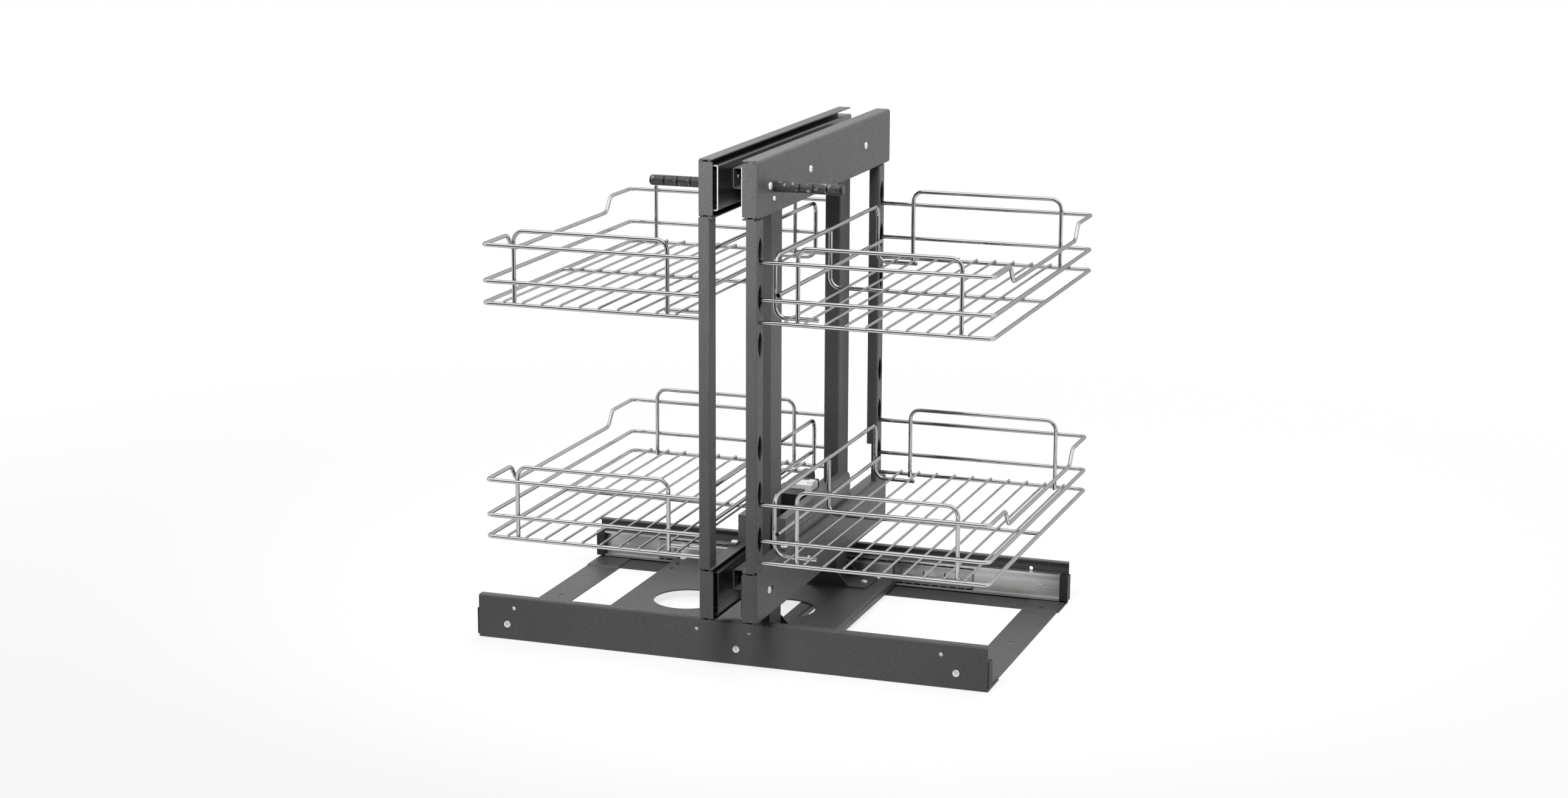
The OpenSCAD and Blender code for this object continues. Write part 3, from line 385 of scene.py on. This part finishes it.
def handle_plastic(side):
    """Black grained plastic with paler specks painted in as highlights, and ring grooves painted black as
    shade.
    """
    material, tree, shader = start_material(f"{side}_handle_plastic")
    low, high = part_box(f"{side}_handle")
    foot = low.x if side == "right" else high.x
    # Painted shade: the colour is multiplied to black in each ring groove from GROOVE_START on
    off_foot = math_node(tree, "SUBTRACT", part_along(tree, place(tree), "X"), foot)
    before = math_node(tree, "SUBTRACT", math_node(tree, "ABSOLUTE", off_foot),
                       (GROOVE_START - GROOVE_PITCH / 2) * MM)
    off_groove = math_node(tree, "GREATER_THAN", off_mark(tree, before, GROOVE_PITCH), GROOVE_SHARE)
    beyond_first = math_node(tree, "GREATER_THAN", before, 0.0)
    smooth = math_node(tree, "MAXIMUM", off_groove, math_node(tree, "SUBTRACT", 1.0, beyond_first))
    grain = noise(tree, scale=420, detail=4)
    # Noise that places the specks of painted highlight and varies the roughness
    highlight_and_roughness_noise = noise(tree, scale=150, detail=4)
    # Painted highlights: paler specks where that noise is high
    specks = product(tree, math_node(tree, "GREATER_THAN", highlight_and_roughness_noise, 0.62), 0.1)
    tone = math_node(tree, "ADD", spread(tree, grain, 0.012, 0.03), specks)
    roughness = spread(tree, highlight_and_roughness_noise, 0.26, 0.42)
    finish_surface(tree, shader, grey(tree, product(tree, tone, smooth)), roughness, grain,
                   strength=0.5, depth=0.0005)
    return material


def middle_height(name):
    return sum(corner.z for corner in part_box(name)) / 2


TOP_BALLS = ball_rows(middle_height("left_top_slide_outer"))
BOTTOM_BALLS = ball_rows(middle_height("left_bottom_slide_outer"))

GRAPHITE = powder_coat()
BLACK = black_steel("black_slide_steel")
BARE_ENDS = black_steel("black_steel_with_bare_ends", front_ends)
BLACK_TOP = black_steel("black_steel_with_balls_top", TOP_BALLS)
BLACK_BOTTOM = black_steel("black_steel_with_balls_bottom", BOTTOM_BALLS)
ZINC = zinc_plate("zinc_plate", level=0.6, rough=0.3)
DARK_ZINC = zinc_plate("dark_zinc_plate", level=0.36, rough=0.26)
CHROME = bright_metal("chromed_wire", level=0.55, rough=0.07, grain_scale=90, depth=0.0002,
                      metallic=1.0, edge=0.45)
SCREW = bright_metal("bright_screws", level=0.85, rough=0.2, grain_scale=600, depth=0.0001,
                     metallic=0.5, edge=1.0)
BALL = balls_in_strip("balls_in_their_strip", strip_start=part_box("front_ball_cages")[0].x)
RUBBER = moulded("black_rubber", level=0.014, rough=0.6, grain_scale=700, depth=0.0002)
HANDLES = {side: handle_plastic(side) for side in SIDES}
BLOCK = moulded("black_block_plastic", level=0.018, rough=0.45, grain_scale=900, depth=0.0002)
HOUSING = moulded("grey_housing_plastic", level=0.07, rough=0.42, grain_scale=900, depth=0.0002)
WHITE = moulded("white_latch_plastic", level=0.8, rough=0.35, grain_scale=500, depth=0.0001,
                tint=(1, 1, 0.985))


def dress(name, material):
    """Gives all faces of a solid a material."""
    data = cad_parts[name].data
    data.materials.clear()
    data.materials.append(material)
    for face in data.polygons:
        face.material_index = 0


def material_for(name):
    if "slide_middle" in name and "top" in name:
        return BLACK_TOP
    if "slide_middle" in name and "bottom" in name:
        return BLACK_BOTTOM
    if name in ("front_slide_middle", "back_slide_middle"):
        return DARK_ZINC
    if name.startswith(("front_slide", "back_slide")):
        return ZINC
    if "top_slide_outer" in name:
        return BARE_ENDS
    if "_slide_inner" in name or "_slide_outer" in name:
        return BLACK
    if name == "slide_stops":
        return RUBBER
    if "handle" in name:
        return HANDLES[name.split("_")[0]]
    if "housing" in name:
        return HOUSING
    if name == "interlock_block":
        return BLOCK
    if name == "interlock_bar":
        return WHITE
    if "basket" in name:
        return CHROME
    if "screws" in name:
        return SCREW
    if "cages" in name:
        return BALL
    return GRAPHITE


for node_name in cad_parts:
    dress(node_name, material_for(node_name))


# Pieces

def finish_piece(piece, material, body, slot, *nodes):
    """Gives a piece its material and its body, and hides the solids that it stands for. The slot is not
    used.
    """
    piece.data.materials.append(material)
    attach(piece, body)
    if nodes:
        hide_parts(*nodes)


def mesh_piece(name, mesh):
    for face in mesh.faces:
        face.smooth = True
    data = bpy.data.meshes.new(name)
    mesh.to_mesh(data)
    mesh.free()
    piece = bpy.data.objects.new(name, data)
    bpy.context.scene.collection.objects.link(piece)
    return piece


def bead_piece(name, places):
    """Small round beads, from a list of their places and radii."""
    mesh = bmesh.new()
    for centre, radius in places:
        bmesh.ops.create_icosphere(mesh, subdivisions=2, radius=radius * MM,
                                   matrix=Matrix.Translation(centre))
    return mesh_piece(name, mesh)


def seam_welds(side, rail):
    """Places and radii of the small weld beads in the seams above and below the cap of a frame rail."""
    low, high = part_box(f"{side}_{rail}_rail")
    places = []
    for z in (low.z + SEAM * MM, high.z - SEAM * MM):
        for share, radius in SEAM_BEADS:
            at = Vector((low.x + share * (high.x - low.x), low.y + SEAM_BEAD_Y * MM, z))
            places.append((at, radius))
    return places


for side in SIDES:
    welds = seam_welds(side, "top") + seam_welds(side, "bottom")
    finish_piece(bead_piece(f"{side}_frame_welds", welds), GRAPHITE, f"{side}_frame", "graphite_powder_coat")


# Baskets

def rounded_path(corners):
    """Points along a path of (place, bend radius) corners, with each corner bent to its radius."""
    points = [Vector(corners[0][0])]
    for before, (at, radius), after in zip(corners, corners[1:], corners[2:]):
        corner = Vector(at)
        back = (Vector(before[0]) - corner).normalized()
        onward = (Vector(after[0]) - corner).normalized()
        turn = math.pi - back.angle(onward)
        reach = radius * math.tan(turn / 2)
        centre = corner + (back + onward).normalized() * radius / math.cos(turn / 2)
        first = corner + back * reach - centre
        axis = first.cross(corner + onward * reach - centre).normalized()
        steps = max(LEAST_BEND_STEPS, round(math.degrees(turn) / BEND_STEP_DEGREES))
        for i in range(steps + 1):
            points.append(centre + Matrix.Rotation(turn * i / steps, 3, axis) @ first)
    points.append(Vector(corners[-1][0]))
    return points


def wire_piece(name, paths, diameter):
    data = bpy.data.curves.new(name, "CURVE")
    data.dimensions = "3D"
    data.bevel_depth = diameter * MM / 2
    data.bevel_resolution = 6
    data.use_fill_caps = True
    for path in paths:
        spline = data.splines.new("POLY")
        spline.points.add(len(path) - 1)
        for point, at in zip(spline.points, path):
            point.co = (*at, 1)
        spline.use_smooth = True
    piece = bpy.data.objects.new(name, data)
    bpy.context.scene.collection.objects.link(piece)
    return piece


class Basket:
    """The wires of one basket. u runs outwards from the frame's face, v from the front wire to the
    back and w up from the lowest wire, all in millimetres."""

    def __init__(self, side, level):
        low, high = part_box(f"{side}_{level}_basket")
        radius = WIRE_D * MM / 2
        rail_low, rail_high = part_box(f"{side}_top_rail")
        self.sign = 1 if side == "right" else -1
        self.face = rail_high.x if side == "right" else rail_low.x
        outer = high.x if side == "right" else low.x
        self.front = low.y + radius
        self.base = low.z + radius
        self.width = (abs(outer - self.face) - radius) / MM
        self.depth = (high.y - low.y - 2 * radius) / MM
        self.hoop_rise = (high.z - low.z - 2 * radius) / MM
        self.floor_rise = (WIRE_D + FLOOR_WIRE_D) / 2 - WELD
        self.floor_us = [FLOOR_WIRE_X + i * FLOOR_WIRE_PITCH for i in range(FLOOR_WIRES)]

    def at(self, point):
        u, v, w = point
        return Vector((self.face + self.sign * u * MM, self.front + v * MM, self.base + w * MM))

    def path(self, corners):
        return [self.at(point) for point in rounded_path(corners)]

    def round_wire(self, start, rise, dips=()):
        """A wire round the three outer sides, from one post of the frame to the other."""
        near = [((start, 0, rise), 0), ((self.width, 0, rise), RING_BEND)]
        far = [((self.width, self.depth, rise), RING_BEND), ((start, self.depth, rise), 0)]
        return self.path(near + list(dips) + far)

    def dipped_wire(self):
        """The top wire, which runs lower along the middle of the outer side."""
        reach = DIP_R * math.tan(math.atan2(DIP, DIP_LEN - DIP_R) / 2)
        near = [((self.width, DIP_START + reach, TOP_RISE), DIP_BEND),
                ((self.width, DIP_START + DIP_LEN - reach, TOP_RISE - DIP), DIP_BEND)]
        far = [((u, self.depth - v, w), bend) for (u, v, w), bend in reversed(near)]
        return self.round_wire(-HOOK_IN, TOP_RISE, near + far)

    def raised_hoop(self, v):
        """The hoop that stands up from the front or the back wires."""
        foot = -WIRE_D / 2
        return self.path([((HOOP_NEAR, v, foot), 0), ((HOOP_NEAR, v, self.hoop_rise), WIRE_BEND),
                          ((HOOP_FAR, v, self.hoop_rise), WIRE_BEND), ((HOOP_FAR, v, foot), 0)])

    def inner_hoop(self):
        """The hoop along the frame, whose two feet run under the floor wires."""
        near, far = INNER_END, self.depth - INNER_END
        toe = INNER_GAP + INNER_FOOT
        return self.path([((toe, near, 0), 0), ((INNER_GAP, near, 0), WIRE_BEND),
                          ((INNER_GAP, near, INNER_RISE), WIRE_BEND),
                          ((INNER_GAP, far, INNER_RISE), WIRE_BEND),
                          ((INNER_GAP, far, 0), WIRE_BEND), ((toe, far, 0), 0)])

    def inner_rail(self):
        """The straight wire between the uprights of the inner hoop."""
        u = INNER_GAP + WIRE_D - WELD
        start = INNER_END - WIRE_D / 2
        return self.path([((u, start, MID_RISE), 0), ((u, self.depth - start, MID_RISE), 0)])

    def cross_wire(self):
        """The wire under the middle of the floor, bent up to the inner hoop's top."""
        return self.path([((self.width - WIRE_D / 2, CROSS_WIRE_Y, 0), 0),
                          ((INNER_GAP, CROSS_WIRE_Y, 0), WIRE_BEND),
                          ((INNER_GAP, CROSS_WIRE_Y, INNER_RISE - WIRE_D / 2), 0)])

    def thick_wires(self):
        """The paths of all wires but those of the floor."""
        hoop_v = WIRE_D - WELD
        rings = [self.round_wire(LOW_RING_GAP, 0), self.round_wire(-HOOK_IN, MID_RISE), self.dipped_wire()]
        hoops = [self.raised_hoop(hoop_v), self.raised_hoop(self.depth - hoop_v), self.inner_hoop()]
        return rings + hoops + [self.inner_rail(), self.cross_wire()]

    def floor_ends(self, u):
        return ((u, -FLOOR_WIRE_PAST, self.floor_rise), (u, self.depth + FLOOR_WIRE_PAST, self.floor_rise))

    def floor_wires(self):
        return [self.path([(end, 0) for end in self.floor_ends(u)]) for u in self.floor_us]

    def beads(self):
        """Places and radii of the rounded wire ends and of the weld beads."""
        places = []
        for u in self.floor_us:
            places += [(self.at(end), FLOOR_WIRE_D / 2) for end in self.floor_ends(u)]
            for v in (0, CROSS_WIRE_Y, self.depth):
                for off in (-FLOOR_BEAD_OFF, FLOOR_BEAD_OFF):
                    at = self.at((u + off, v, self.floor_rise - FLOOR_BEAD_OFF))
                    places.append((at, FLOOR_BEAD_R))
        hoop_v = (WIRE_D - WELD) / 2
        for u in (HOOP_NEAR, HOOP_FAR):
            for rise in (0, MID_RISE, TOP_RISE):
                for off in (-HOOP_BEAD_OFF, HOOP_BEAD_OFF):
                    for v in (hoop_v, self.depth - hoop_v):
                        places.append((self.at((u + off, v, rise)), HOOP_BEAD_R))
        return places


for side in SIDES:
    for level in LEVELS:
        basket = Basket(side, level)
        node_name = f"{side}_{level}_basket"
        pieces = [wire_piece(f"{node_name}_wires", basket.thick_wires(), WIRE_D),
                  wire_piece(f"{node_name}_floor", basket.floor_wires(), FLOOR_WIRE_D),
                  bead_piece(f"{node_name}_welds", basket.beads())]
        for piece in pieces:
            finish_piece(piece, CHROME, f"{side}_frame", "chromed_wire", node_name)


# Screws

def islands(name):
    """The lowest and highest corner of each separate solid of a node."""
    mesh = bmesh.new()
    mesh.from_mesh(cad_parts[name].data)
    bmesh.ops.remove_doubles(mesh, verts=mesh.verts, dist=MERGE * MM)
    left = set(mesh.verts)
    boxes = []
    while left:
        waiting = [left.pop()]
        low, high = waiting[0].co.copy(), waiting[0].co.copy()
        while waiting:
            vertex = waiting.pop()
            low = Vector(map(min, low, vertex.co))
            high = Vector(map(max, high, vertex.co))
            for edge in vertex.link_edges:
                other = edge.other_vert(vertex)
                if other in left:
                    left.remove(other)
                    waiting.append(other)
        boxes.append((low, high))
    mesh.free()
    return sorted(boxes, key=lambda box: tuple(box[0]))


def smooth_step(low, high, value):
    t = min(1.0, max(0.0, (value - low) / (high - low)))
    return t * t * (3 - 2 * t)


def cross_recess(x, y):
    """Depth of a cross recess at a place on the head, in millimetres."""
    x, y = abs(x), abs(y)
    arms = []
    for along, across in ((x, y), (y, x)):
        half = RECESS_HALF * (RECESS_WIDENING - RECESS_TAPER * along / RECESS_REACH)
        across_share = 1 - smooth_step(half * RECESS_WALL[0], half * RECESS_WALL[1], across)
        along_share = 1 - smooth_step(RECESS_TOE * RECESS_REACH, RECESS_REACH, along)
        arms.append(across_share * along_share)
    return RECESS_DEPTH * min(1.0, max(arms))


def rivet_hole(r, radius):
    """Depth of a rivet's round hole at a distance from its middle, in millimetres."""
    return RIVET_HOLE * (1 - smooth_step(RIVET_WALL[0] * radius, RIVET_WALL[1] * radius, r))


def head_height(r, radius):
    dome = HEAD_H * (1 - DOME_DROP * (r / radius) ** DOME_POWER)
    return dome * math.sqrt(max(0.0, 1 - smooth_step(RIM_START * radius, radius, r) ** 2 * RIM_DROP))


def add_head(mesh, at, outward, radius, turn):
    """A pan head on the surface at a place, facing outward and turned, with a cross recess. A small one
    is a rivet's, with a round hole."""
    crossed = radius > LARGEST_RIVET_R
    facing = outward.to_track_quat("Z", "Y").to_matrix()
    middle_z = HEAD_H - (RECESS_DEPTH if crossed else RIVET_HOLE)
    middle = mesh.verts.new(at + facing @ Vector((0, 0, middle_z * MM)))
    previous = [middle] * HEAD_SPOKES
    for ring in range(1, HEAD_RINGS + 2):
        r = radius * min(1.0, (ring / HEAD_RINGS) ** RING_CROWDING)
        current = []
        for spoke in range(HEAD_SPOKES):
            angle = 2 * math.pi * spoke / HEAD_SPOKES
            x, y = r * math.cos(angle), r * math.sin(angle)
            z = head_height(r, radius) - (cross_recess(x, y) if crossed else rivet_hole(r, radius))
            if ring > HEAD_RINGS:
                z = 0
            spot = Matrix.Rotation(turn, 3, "Z") @ Vector((x * MM, y * MM, z * MM))
            current.append(mesh.verts.new(at + facing @ spot))
        for spoke in range(HEAD_SPOKES):
            after = (spoke + 1) % HEAD_SPOKES
            if ring == 1:
                mesh.faces.new((middle, current[spoke], current[after]))
            else:
                mesh.faces.new((previous[spoke], current[spoke], current[after], previous[after]))
        previous = current


def screw_piece(name, node_name, outward_of):
    """Detailed heads for every screw of a node, with the shanks under them."""
    mesh = bmesh.new()
    for number, (low, high) in enumerate(islands(node_name)):
        outward = outward_of(low, high)
        axis = max(range(3), key=lambda i: abs(outward[i]))
        top = high[axis] if outward[axis] > 0 else low[axis]
        length = high[axis] - low[axis] - HEAD_H * MM
        at = (low + high) / 2
        at[axis] = top - outward[axis] * HEAD_H * MM
        across = (axis + 1) % 3
        radius = (high[across] - low[across]) / 2 / MM
        add_head(mesh, at, outward, radius, TURN_PER_SCREW * number)
        shank = Matrix.Translation(at - outward * length / 2)
        turn = outward.to_track_quat("Z", "Y").to_matrix().to_4x4()
        bmesh.ops.create_cone(mesh, cap_ends=True, segments=SHANK_SIDES, radius1=SHANK_R * MM,
                              radius2=SHANK_R * MM, depth=length, matrix=shank @ turn)
    return mesh_piece(name, mesh)


def facing_y(low, high):
    return Vector((0, math.copysign(1, (low + high).y), 0))


def facing_up(low, high):
    return Vector((0, 0, 1))


column_x = sum(corner.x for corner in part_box("column_top_rail")) / 2


def frame_screw_facing(low, high):
    """Sideways, away from the column. Only the screw of the lock housing stands upright: it is short and
    as wide as it is deep."""
    width, depth, height = (high - low) / MM
    if width > UPRIGHT_WIDTH and height < UPRIGHT_HEIGHT and abs(width - depth) < 1:
        return Vector((0, 0, 1))
    return Vector((math.copysign(1, (low + high).x / 2 - column_x), 0, 0))


SCREW_NODES = [("floor_slide_screws", "floor_frame", facing_y), ("carriage_screws", "carriage", facing_up),
               ("column_slide_screws", "carriage", frame_screw_facing),
               ("left_frame_screws", "left_frame", frame_screw_facing),
               ("right_frame_screws", "right_frame", frame_screw_facing)]
for node_name, body, outward_of in SCREW_NODES:
    piece = screw_piece(f"{node_name}_crossed", node_name, outward_of)
    finish_piece(piece, SCREW, body, "bright_screws", node_name)


# Stage

def level_ramp(tree, height, stops):
    """Grey levels over a direction's height, whose range from -1 to 1 is laid from 0 to 1."""
    ramp = add(tree, "ShaderNodeValToRGB")
    while len(ramp.color_ramp.elements) < len(stops):
        ramp.color_ramp.elements.new(0.5)
    for element, (position, level) in zip(ramp.color_ramp.elements, stops):
        element.position = position
        element.color = (level, level, level, 1)
    tree.links.new(map_range(tree, height, (-1, 1)), ramp.inputs["Fac"])
    return ramp.outputs["Color"]


def studio_world():
    """White for the camera. Metal mirrors the same white behind and beside the part, and in front of it a
    room that is dark below and bright overhead, which shows how round the wires are. Matt surfaces get
    an even light that is stronger from behind."""
    world = bpy.data.worlds.new("studio")
    bpy.context.scene.world = world
    world.use_nodes = True
    tree = world.node_tree
    tree.nodes.clear()
    direction = add(tree, "ShaderNodeTexCoord").outputs["Generated"]
    to_right, to_back, upwards = (part_along(tree, direction, axis) for axis in "XYZ")

    white = add(tree, "ShaderNodeBackground", {"Color": WHITE_LIGHT, "Strength": 1.0}).outputs["Background"]
    room = add(tree, "ShaderNodeBackground", {"Strength": ROOM_STRENGTH})
    tree.links.new(level_ramp(tree, upwards, ROOM_LEVELS), room.inputs["Color"])
    behind = map_range(tree, to_back, WHITE_BEHIND)
    beside = map_range(tree, math_node(tree, "ABSOLUTE", to_right), WHITE_BESIDE)
    white_share = math_node(tree, "MAXIMUM", behind, beside)
    mirrored = shader_mix(tree, white_share, room.outputs["Background"], white)

    soft = add(tree, "ShaderNodeBackground", {"Color": WHITE_LIGHT})
    tree.links.new(map_range(tree, to_back, SOFT_LIGHT_BAND, SOFT_LIGHT), soft.inputs["Strength"])
    shiny = seen_by(tree, "Is Glossy Ray", "Is Transmission Ray")
    surroundings = shader_mix(tree, shiny, soft.outputs["Background"], mirrored)
    shown = shader_mix(tree, seen_by(tree, "Is Camera Ray"), surroundings, white)
    tree.links.new(shown, add(tree, "ShaderNodeOutputWorld").inputs["Surface"])


def studio_floor():
    """A round white floor that keeps the soft shadow and fades into the white background, for the camera
    and in metal. Matt surfaces get a soft light from it that is stronger from behind."""
    mesh = bmesh.new()
    bmesh.ops.create_circle(mesh, cap_ends=True, segments=96, radius=FLOOR_RADIUS)
    floor = mesh_piece("floor", mesh)
    material = bpy.data.materials.new("floor")
    material.use_nodes = True
    tree = material.node_tree
    tree.nodes.clear()
    spot = add(tree, "ShaderNodeTexCoord").outputs["Object"]
    distance = add(tree, "ShaderNodeVectorMath", operation="LENGTH")
    tree.links.new(spot, distance.inputs[0])

    matt = add(tree, "ShaderNodeBsdfDiffuse", {"Color": (0.9, 0.9, 0.9, 1)})
    white = add(tree, "ShaderNodeEmission", {"Color": WHITE_LIGHT, "Strength": 1.0})
    white_share = map_range(tree, distance.outputs["Value"], FLOOR_FADE, (FLOOR_LIFT, 1), "SMOOTHSTEP")
    fading = shader_mix(tree, white_share, matt.outputs["BSDF"], white.outputs["Emission"])

    soft = add(tree, "ShaderNodeEmission", {"Color": WHITE_LIGHT})
    soft_level = map_range(tree, part_along(tree, spot, "Y"), FLOOR_LIGHT_BAND, FLOOR_LIGHT)
    tree.links.new(soft_level, soft.inputs["Strength"])
    seen = seen_by(tree, "Is Camera Ray", "Is Glossy Ray", "Is Transmission Ray")
    shown = shader_mix(tree, seen, soft.outputs["Emission"], fading)
    tree.links.new(shown, add(tree, "ShaderNodeOutputMaterial").inputs["Surface"])
    floor.data.materials.append(material)


def softbox(name, at, target, size, power, spread_degrees):
    """A lamp that lights the part, and isn't seen in the picture or in metal."""
    light = bpy.data.lights.new(name, "AREA")
    light.shape = "RECTANGLE"
    light.size, light.size_y = size
    light.energy = power
    light.spread = math.radians(spread_degrees)
    lamp = bpy.data.objects.new(name, light)
    lamp.location = at
    lamp.rotation_euler = (Vector(target) - Vector(at)).to_track_quat("-Z", "Y").to_euler()
    lamp.visible_camera = False
    lamp.visible_glossy = False
    bpy.context.scene.collection.objects.link(lamp)


def studio_camera():
    azimuth, elevation, roll = map(math.radians, (CAMERA_AZIMUTH, CAMERA_ELEVATION, CAMERA_ROLL))
    forward = Vector((-math.sin(azimuth) * math.cos(elevation), math.cos(azimuth) * math.cos(elevation),
                      -math.sin(elevation)))
    level_right = Vector((math.cos(azimuth), math.sin(azimuth), 0))
    level_up = level_right.cross(forward)
    right = level_right * math.cos(roll) + level_up * math.sin(roll)
    up = level_up * math.cos(roll) - level_right * math.sin(roll)
    camera = bpy.data.cameras.new("camera")
    camera.lens = CAMERA_LENS
    camera.sensor_width = SENSOR_W
    camera.sensor_fit = "HORIZONTAL"
    holder = bpy.data.objects.new("camera", camera)
    turn = Matrix((right, up, -forward)).transposed().to_4x4()
    holder.matrix_world = Matrix.Translation(CAMERA_PLACE) @ turn
    bpy.context.scene.collection.objects.link(holder)
    bpy.context.scene.camera = holder


studio_world()
studio_floor()
softbox("overhead_light", at=(0.5, 0.2, 2.0), target=(0.1, 0, 0.2), size=(2.0, 2.0), power=28,
        spread_degrees=180)
softbox("front_light", at=(0.05, -0.94, 1.0), target=(0.02, -0.26, 0.56), size=(0.5, 0.3), power=4.8,
        spread_degrees=85)
softbox("back_light", at=(-0.5, 2.0, 2.0), target=(0, 0, 0.4), size=(3.0, 0.6), power=28,
        spread_degrees=180)
studio_camera()
bpy.context.scene.view_settings.view_transform = "Standard"
